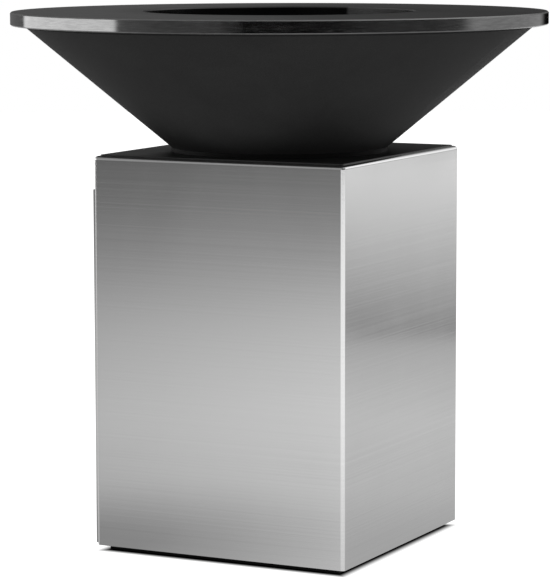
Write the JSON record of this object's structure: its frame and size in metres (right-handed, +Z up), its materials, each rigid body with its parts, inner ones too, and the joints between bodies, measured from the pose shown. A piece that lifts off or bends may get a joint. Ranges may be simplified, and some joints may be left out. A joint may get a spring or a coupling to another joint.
{
  "type": "fire bowl plancha grill",
  "caption": "Wood-fired bowl with a ring-shaped steel cooking plate, standing on a square stainless cabinet with a side door, drain, ash pan and levelling feet.",
  "frame": {"origin": "on the floor, on the axis of the bowl", "axes": "+Z up; -Y is the plain front, -X is the side with the door"},
  "size_m": [0.9799, 0.98, 0.98],
  "materials": {
    "plate_steel": "satin",
    "bowl_steel": "matte",
    "brushed_stainless": "satin",
    "frame_steel": "satin",
    "deck_black": "matte",
    "shield_steel": "satin",
    "zinc_fastener": "satin",
    "plinth_black": "matte",
    "foot_black": "matte",
    "seal_rubber": "matte",
    "hinge_steel": "satin",
    "catch_plastic": "matte",
    "pan_steel": "matte"
  },
  "bodies": {
    "base": {"bowl_rim_ring": "bowl_steel", "bowl_cone": "bowl_steel", "bowl_floor": "bowl_steel", "bowl_foot_ring": "bowl_steel", "bowl_studs": "zinc_fastener", "stud_washers": "zinc_fastener", "stud_nuts": "zinc_fastener", "drain_pipe": "bowl_steel", "top_plate": "deck_black", "base_shell": "brushed_stainless", "corner_posts": "frame_steel", "upper_rails": "frame_steel", "lower_rails": "frame_steel", "bearers": "frame_steel", "heat_shield": "shield_steel", "shield_spacers": "zinc_fastener", "shield_screws": "zinc_fastener", "shield_nuts": "zinc_fastener", "cabinet_floor": "shield_steel", "foot_brackets": "frame_steel", "foot_bushes": "zinc_fastener", "foot_lock_nuts": "zinc_fastener", "plinth_ring": "plinth_black", "hinge_leaves_base": "hinge_steel", "hinge_pins": "hinge_steel", "hinge_rivets_base": "hinge_steel", "catch_bracket": "shield_steel", "catch_magnet": "catch_plastic", "catch_screws": "zinc_fastener"},
    "plate": {"cooking_plate": "plate_steel", "plate_lugs": "plate_steel"},
    "strainer": {"strainer_disc": "bowl_steel", "strainer_knob": "bowl_steel"},
    "door": {"door_leaf": "brushed_stainless", "door_liner": "shield_steel", "door_seal": "seal_rubber", "pull_cup": "hinge_steel", "hinge_leaves_door": "hinge_steel", "hinge_rivets_door": "hinge_steel", "catch_strike": "hinge_steel"},
    "pan": {"ash_pan": "pan_steel"},
    "foot_1": {"foot_pad_1": "foot_black", "foot_stem_1": "zinc_fastener"},
    "foot_2": {"foot_pad_2": "foot_black", "foot_stem_2": "zinc_fastener"},
    "foot_3": {"foot_pad_3": "foot_black", "foot_stem_3": "zinc_fastener"},
    "foot_4": {"foot_pad_4": "foot_black", "foot_stem_4": "zinc_fastener"}
  },
  "joints": [
    {"name": "plate_lift", "type": "slide", "parent": "base", "child": "plate", "axis": [0, 0, 1], "range_m": [0, 0.1]},
    {"name": "strainer_lift", "type": "slide", "parent": "base", "child": "strainer", "axis": [0, 0, 1], "range_m": [0, 0.26]},
    {"name": "pan_lift", "type": "slide", "parent": "base", "child": "pan", "axis": [0, 0, 1], "range_m": [0, 0.1]},
    {"name": "door_hinge", "type": "hinge", "parent": "base", "child": "door", "pos_m": [-0.2525, 0.2485, 0.3385], "axis": [0, 0, -1], "range_deg": [0, 115]},
    {"name": "foot_1_screw", "type": "slide", "parent": "base", "child": "foot_1", "axis": [0, 0, -1], "range_m": [0, 0.01]},
    {"name": "foot_2_screw", "type": "slide", "parent": "base", "child": "foot_2", "axis": [0, 0, -1], "range_m": [0, 0.01]},
    {"name": "foot_3_screw", "type": "slide", "parent": "base", "child": "foot_3", "axis": [0, 0, -1], "range_m": [0, 0.01]},
    {"name": "foot_4_screw", "type": "slide", "parent": "base", "child": "foot_4", "axis": [0, 0, -1], "range_m": [0, 0.01]}
  ]
}
